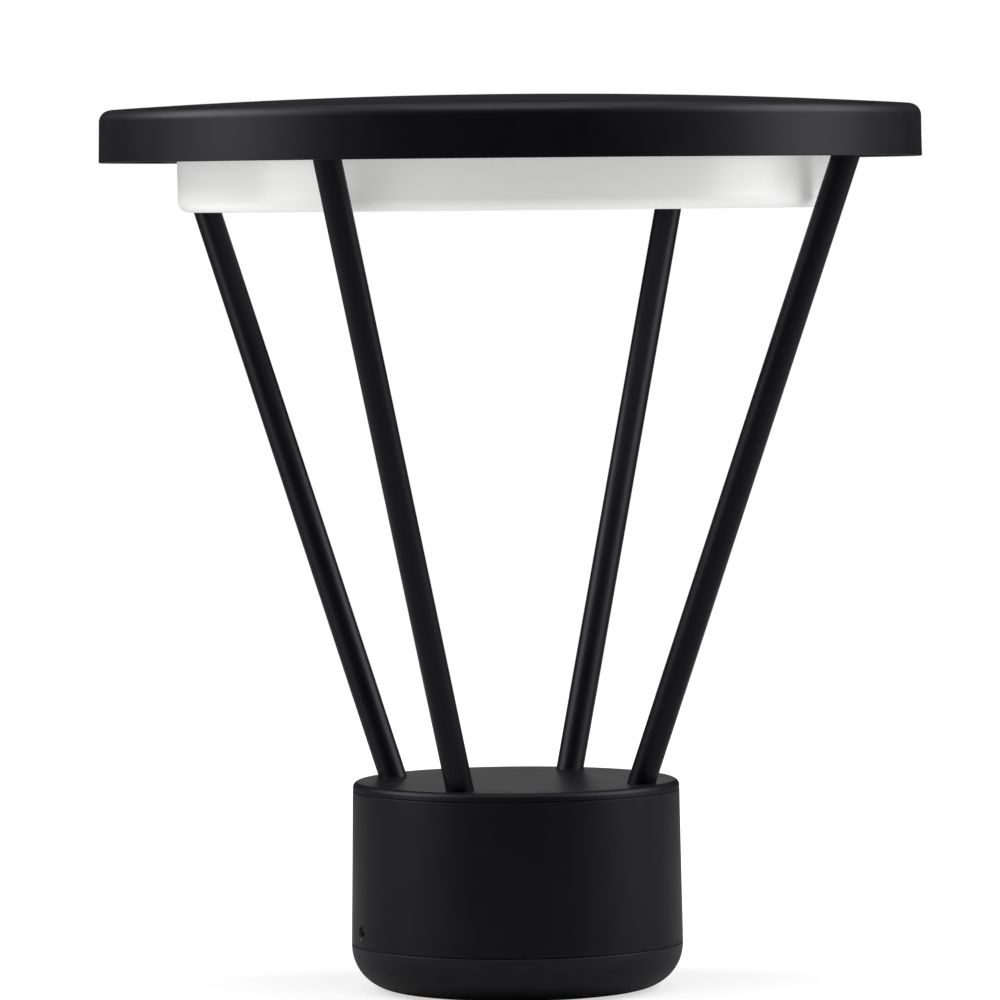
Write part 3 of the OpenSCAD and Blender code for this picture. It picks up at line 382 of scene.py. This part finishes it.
def loose_parts(node):
    """The separate bodies of a CAD node as lists of points and faces, in order along X."""
    bm = bmesh.new()
    bm.from_mesh(nodes[node].data)
    bmesh.ops.remove_doubles(bm, verts=bm.verts, dist=same_point)
    bmesh.ops.join_triangles(bm, faces=bm.faces, angle_face_threshold=nearly_half_turn,
                             angle_shape_threshold=nearly_half_turn)
    bm.verts.index_update()
    left = set(bm.verts)
    parts = []
    while left:
        found = {left.pop()}
        edge = list(found)
        while edge:
            at = edge.pop()
            near = {link.other_vert(at) for link in at.link_edges} - found
            found |= near
            edge += near
        left -= found
        order = sorted(found, key=lambda vertex: vertex.index)
        number = {vertex: k for k, vertex in enumerate(order)}
        faces = [[number[vertex] for vertex in face.verts] for face in bm.faces if face.verts[0] in found]
        parts.append(([vertex.co.copy() for vertex in order], faces))
    bm.free()
    return sorted(parts, key=lambda part: max(point.x for point in part[0]))


def smooth_lead(name, part, node, material):
    """One wire as a round smooth tube, riding with the head."""
    points, faces = part
    mesh = bpy.data.meshes.new(name)
    mesh.from_pydata(points, [], faces)
    mesh.shade_smooth()
    mesh.materials.append(material)
    made = stand_in(name, mesh, node, "head")
    rounding = made.modifiers.new("rounding", "SUBSURF")
    rounding.levels = 1
    rounding.render_levels = 1
    return made


smooth_lead("board_lead", loose_parts("led_lead")[0], "led_lead", white_pvc)
line_part, neutral_part, ground_part = loose_parts("supply_leads")
smooth_lead("line_wire", line_part, "supply_leads", black_pvc)
smooth_lead("neutral_wire", neutral_part, "supply_leads", white_pvc)
smooth_lead("ground_wire", ground_part, "supply_leads", green_pvc)

# Pan, its seal and the bush of the lead. The pan is a cast aluminium plate in the same coat that
# closes the cap from below, with a silicone cord in the groove round it, and the bush is pushed
# into the hole where the lead comes through.
finish_with(cast_coat, "pan")
finish_with(silicone, "cap_seal", "lead_grommet")

# Board of the diodes. A round aluminium-core board with copper tracks under white solder mask,
# screwed flat to the pan's underside, with a nylon connector for the lead.


def printed_board(name):
    """White solder mask over copper: the mask is even, and ring tracks stand up faintly under it."""
    made, tree, shader, place = new_material(name, roughness=0.34, IOR=1.52)
    patch_mm = 14
    patches = add(tree, "ShaderNodeTexNoise",
                  {"Scale": per_mm(patch_mm), "Detail": 2.0, "Roughness": 0.5},
                  {"Vector": place}).outputs["Fac"]
    flat = add(tree, "ShaderNodeVectorMath", {"operation": "MULTIPLY", 1: (1, 1, 0)}, {0: place})
    radius = add(tree, "ShaderNodeVectorMath", {"operation": "LENGTH"}, {0: flat.outputs["Vector"]})
    # The diodes' rings are 30 mm apart, and a track 6 mm wide runs on each side of every ring.
    ring_step = 0.030
    track_from_ring = 0.0055
    away = add(tree, "ShaderNodeMath", {"operation": "PINGPONG", 1: ring_step / 2},
               {0: radius.outputs["Value"]})
    outer = add(tree, "ShaderNodeMath", {"operation": "SUBTRACT", 1: track_from_ring},
                {0: away.outputs["Value"]})
    off = add(tree, "ShaderNodeMath", {"operation": "ABSOLUTE"}, {0: outer.outputs["Value"]})
    track = add(tree, "ShaderNodeMapRange",
                {"From Min": 0.0028, "From Max": 0.0032, "To Min": 1.0, "To Max": 0.0},
                {"Value": off.outputs["Value"]})
    mask = add(tree, "ShaderNodeMix",
               {"data_type": "RGBA", colour_a: linear("e6e8e5"), colour_b: linear("eceeeb")},
               {0: patches})
    shade = add(tree, "ShaderNodeMix", {"data_type": "RGBA", colour_b: linear("dcded9")},
                {0: track.outputs["Result"], colour_a: mask.outputs[colour_out]})
    bump = add(tree, "ShaderNodeBump", {"Strength": 0.6, "Distance": 0.00007},
               {"Height": track.outputs["Result"]})
    tree.links.new(shade.outputs[colour_out], shader.inputs["Base Color"])
    tree.links.new(bump.outputs["Normal"], shader.inputs["Normal"])
    return made


finish_with(printed_board("white_solder_mask"), "led_board")
finish_with(nylon, "board_connector")
finish_with(stainless, "board_screws")

# Diodes. A white moulded package 3 mm square with a shallow dome of yellow phosphor resin in it,
# soldered down at both ends, in rings round the board.

# Moulded diode package: even warm white, satin.
package_white = moulded("white_diode_package", "e9e7df", "efede6",
                        patch_mm=1.5, grain_mm=0.4, bump_mm=0.01, roughness=0.38, IOR=1.55)
# Phosphor in clear resin: egg yellow, glossy where the resin has set.
phosphor = moulded("phosphor_resin", "dcb53c", "e5c452",
                   patch_mm=1.2, grain_mm=0.4, bump_mm=0.02, roughness=0.25, IOR=1.45)

package_facets = 4
# The package's face looks down, at this share of its CAD block's height over the block's underside.
package_face = 0.3
package_chamfer = 0.00012
dome_facets = 12
# The dome's rings, as a share of the package's half width and a height over its face.
dome_rings = ((0.84, 0.00002), (0.8, -0.00008), (0.5, -0.00016))


def diodes(name, node):
    """All the diodes as one piece: a chamfered package with a phosphor dome at each CAD block."""
    bm = bmesh.new()
    for points, _ in loose_parts(node):
        low_z = min(point.z for point in points)
        high_z = max(point.z for point in points)
        middle = sum(points, Vector()) / len(points)
        out = Vector((middle.x, middle.y, 0)).normalized()
        side = Vector((-out.y, out.x, 0))
        half = max(abs((point - middle).dot(side)) for point in points)
        face_z = low_z + package_face * (high_z - low_z)

        def loop(size, z, facets):
            """Loop of points round the package's middle, square for the package, else round."""
            made = []
            for k in range(facets):
                angle = 2 * math.pi * (k + 0.5) / facets
                x, y = math.cos(angle), math.sin(angle)
                if facets == package_facets:
                    x, y = math.copysign(1, x), math.copysign(1, y)
                at = Vector((middle.x, middle.y, 0)) + (out * x + side * y) * size
                made.append(bm.verts.new((at.x, at.y, z)))
            return made

        close_loops(bm, [loop(half, high_z, package_facets),
                         loop(half, face_z + package_chamfer, package_facets),
                         loop(half - package_chamfer, face_z, package_facets)])
        close_loops(bm, [loop(half * share, face_z + over, dome_facets) for share, over in dome_rings],
                    material_index=1)
    bmesh.ops.recalc_face_normals(bm, faces=bm.faces)
    mesh = bpy.data.meshes.new(name)
    bm.to_mesh(mesh)
    bm.free()
    mesh.materials.append(package_white)
    mesh.materials.append(phosphor)
    return stand_in(name, mesh, node, "head")


diodes("diodes", "led_chips")

# Opal dish with its gasket, clamping ring and ring screws. The dish is formed from opal acrylic,
# and a cast aluminium ring in the same coat presses its flange up against the pan's gasket with
# countersunk black screws.


def opal_acrylic(name):
    """Opal acrylic: milky white that light sinks into, with a soft gloss and a faint painted glow."""
    made, tree, shader, place = new_material(name, roughness=0.24, IOR=1.49)
    haze_mm = 60
    ripple_mm = 5
    haze = add(tree, "ShaderNodeTexNoise",
               {"Scale": per_mm(haze_mm), "Detail": 2.0, "Roughness": 0.5},
               {"Vector": place}).outputs["Fac"]
    ripple = add(tree, "ShaderNodeTexNoise",
                 {"Scale": per_mm(ripple_mm), "Detail": 2.0, "Roughness": 0.5},
                 {"Vector": place}).outputs["Fac"]
    base = add(tree, "ShaderNodeMix",
               {"data_type": "RGBA", colour_a: linear("f0f0ee"), colour_b: linear("f5f5f4")},
               {0: haze})
    gloss = add(tree, "ShaderNodeMapRange", {"To Min": 0.2, "To Max": 0.28}, {"Value": ripple})
    bump = add(tree, "ShaderNodeBump", {"Strength": 0.06, "Distance": 0.0001}, {"Height": ripple})
    # A little light of its own stands for what the white board and pan throw back inside the dish.
    shader.inputs["Emission Color"].default_value = linear("ffffff")
    shader.inputs["Emission Strength"].default_value = 0.3
    shader.inputs["Subsurface Weight"].default_value = 0.6
    shader.inputs["Subsurface Radius"].default_value = (1.0, 0.95, 0.9)
    shader.inputs["Subsurface Scale"].default_value = 0.006
    join_shader(tree, shader, base.outputs[colour_out], gloss.outputs["Result"],
                bump.outputs["Normal"])
    return made


finish_with(silicone, "diffuser_gasket")
finish_with(opal_acrylic("opal_acrylic"), "diffuser")
finish_with(cast_coat, "diffuser_ring")
finish_with(black_oxide, "ring_screws")

# Cap. The widest casting, a shallow aluminium shell with a domed top and ribs inside, in the same
# coat. Black screws come up through the pan into its bosses and pull it onto the seal.
finish_with(cast_coat, "cap_shell")
finish_with(black_oxide, "cap_screws")

# Studio. A camera along the fitted line of the photograph, a little above the base's top plate,
# soft square lamps round the light, white paper under it and a narrow white card behind it.

# Fitted camera: focal length in pixels of the picture's width, the turn round the object's axis,
# pitch and roll, and the lens's place before that turn.
lens_px = 6848.0
picture_px = 1000
turn = math.radians(-21.02)
pitch = 0.0453
roll = -0.0094
stand_off = Vector((-0.008168, -4.1691, 0.4869))

forward = Vector((0, math.cos(pitch), -math.sin(pitch)))
level_up = Vector((0, math.sin(pitch), math.cos(pitch)))
level_right = Vector((1, 0, 0))
right = math.cos(roll) * level_right + math.sin(roll) * level_up
up = math.cos(roll) * level_up - math.sin(roll) * level_right
lens = bpy.data.cameras.new("camera")
lens.sensor_width = 36
lens.lens = lens_px / picture_px * lens.sensor_width
camera = put("camera", lens)
aim = Matrix((right, up, -forward)).transposed().to_4x4()
camera.matrix_world = Matrix.Rotation(turn, 4, "Z") @ Matrix.Translation(stand_off) @ aim
bpy.context.scene.camera = camera
bpy.context.scene.view_settings.view_transform = "Standard"


def softbox(name, azimuth, height, distance, size, power, aim_height):
    """Square area lamp, at an azimuth counted from the camera's side, aimed at the object's axis."""
    lamp = bpy.data.lights.new(name, "AREA")
    lamp.shape = "RECTANGLE"
    lamp.size, lamp.size_y = size
    lamp.energy = power
    angle = turn + math.radians(azimuth)
    spot = Vector((math.sin(angle) * distance, -math.cos(angle) * distance, height))
    made = put(name, lamp)
    made.location = spot
    made.rotation_euler = (Vector((0, 0, aim_height)) - spot).to_track_quat("-Z", "Y").to_euler()


softbox("softbox_left", -90, height=1.4, distance=1.5, size=(1.3, 1.1), power=33, aim_height=0.7)
softbox("softbox_right", 88, height=1.4, distance=1.5, size=(1.3, 1.1), power=33, aim_height=0.7)
softbox("softbox_left_low", -74, height=0.5, distance=1.8, size=(0.9, 0.6), power=5.8, aim_height=0.5)
softbox("softbox_right_low", 84, height=0.5, distance=1.8, size=(0.9, 0.6), power=6.2, aim_height=0.5)
softbox("softbox_above", 180, height=2.0, distance=0.15, size=(1.6, 1.4), power=10, aim_height=0.3)
softbox("softbox_front", 0, height=2.4, distance=0.9, size=(1.4, 0.6), power=26, aim_height=0.3)


def studio_sheet(name, corners, material_name):
    """A flat sheet of the studio, with its bare material's tree and the kinds of ray in it."""
    mesh = bpy.data.meshes.new(name)
    mesh.from_pydata(corners, [], [(0, 1, 2, 3)])
    made = put(name, mesh)
    finish = bpy.data.materials.new(material_name)
    finish.use_nodes = True
    finish.cycles.emission_sampling = "NONE"
    mesh.materials.append(finish)
    tree = finish.node_tree
    tree.nodes.remove(tree.nodes["Principled BSDF"])
    return made, tree, add(tree, "ShaderNodeLightPath")


# Pale matt paper 0.4 mm under the object, one-sided so that views from below see the object
# through it. The camera sees it white, a little less so near the base, where its shadow lies.
floor_half = 6.0
floor_z = -0.0004
floor_corners = [(-floor_half, -floor_half, 0), (floor_half, -floor_half, 0),
                 (floor_half, floor_half, 0), (-floor_half, floor_half, 0)]
floor, tree, rays = studio_sheet("floor", floor_corners, "white_paper")
floor.location.z = floor_z
diffuse = add(tree, "ShaderNodeBsdfDiffuse", {"Color": linear("aeaeae")})
spot = add(tree, "ShaderNodeTexCoord").outputs["Object"]
reach = add(tree, "ShaderNodeVectorMath", {"operation": "LENGTH"}, {0: spot})
fade = add(tree, "ShaderNodeMapRange",
           {"From Min": 0.2, "From Max": 0.9, "To Min": 0.6, "To Max": 1.0},
           {"Value": reach.outputs["Value"]})
seen = add(tree, "ShaderNodeMath", {"operation": "MULTIPLY"},
           {0: fade.outputs["Result"], 1: rays.outputs["Is Camera Ray"]})
glow = add(tree, "ShaderNodeEmission", {"Color": linear("ffffff")}, {"Strength": seen.outputs["Value"]})
lit = add(tree, "ShaderNodeAddShader", {}, {0: diffuse.outputs["BSDF"], 1: glow.outputs["Emission"]})
clear = add(tree, "ShaderNodeBsdfTransparent")
below = add(tree, "ShaderNodeNewGeometry")
one_sided = add(tree, "ShaderNodeMixShader", {},
                {0: below.outputs["Backfacing"], 1: lit.outputs["Shader"], 2: clear.outputs["BSDF"]})
tree.links.new(one_sided.outputs["Shader"], tree.nodes["Material Output"].inputs["Surface"])

# White card behind the object: the camera sees it white, and the black coat mirrors it in the
# rods' edges and on the top plate.
card_at = 2.4
card_half = 0.34
card_h = 0.7
card_corners = [(-card_half, card_at, 0), (card_half, card_at, 0),
                (card_half, card_at, card_h), (-card_half, card_at, card_h)]
backdrop, tree, rays = studio_sheet("backdrop", card_corners, "white_backdrop")
backdrop.rotation_euler = (0, 0, turn)
seen = add(tree, "ShaderNodeMath", {"operation": "MAXIMUM"},
           {0: rays.outputs["Is Camera Ray"], 1: rays.outputs["Is Transmission Ray"]})
shine = add(tree, "ShaderNodeMath", {"operation": "MULTIPLY_ADD", 1: 0.9},
            {0: rays.outputs["Is Glossy Ray"], 2: seen.outputs["Value"]})
glow = add(tree, "ShaderNodeEmission", {"Color": linear("ffffff")}, {"Strength": shine.outputs["Value"]})
tree.links.new(glow.outputs["Emission"], tree.nodes["Material Output"].inputs["Surface"])

# The world is white to the camera and through clear things, and dim to everything else.
world = bpy.data.worlds.new("studio")
world.use_nodes = True
bpy.context.scene.world = world
tree = world.node_tree
rays = add(tree, "ShaderNodeLightPath")
seen = add(tree, "ShaderNodeMath", {"operation": "MAXIMUM"},
           {0: rays.outputs["Is Camera Ray"], 1: rays.outputs["Is Transmission Ray"]})
white = add(tree, "ShaderNodeBackground", {"Color": linear("ffffff"), "Strength": 1.0})
dim = add(tree, "ShaderNodeBackground", {"Color": linear("ffffff"), "Strength": 0.03})
mixed = add(tree, "ShaderNodeMixShader", {},
            {0: seen.outputs["Value"], 1: dim.outputs["Background"], 2: white.outputs["Background"]})
tree.links.new(mixed.outputs["Shader"], tree.nodes["World Output"].inputs["Surface"])
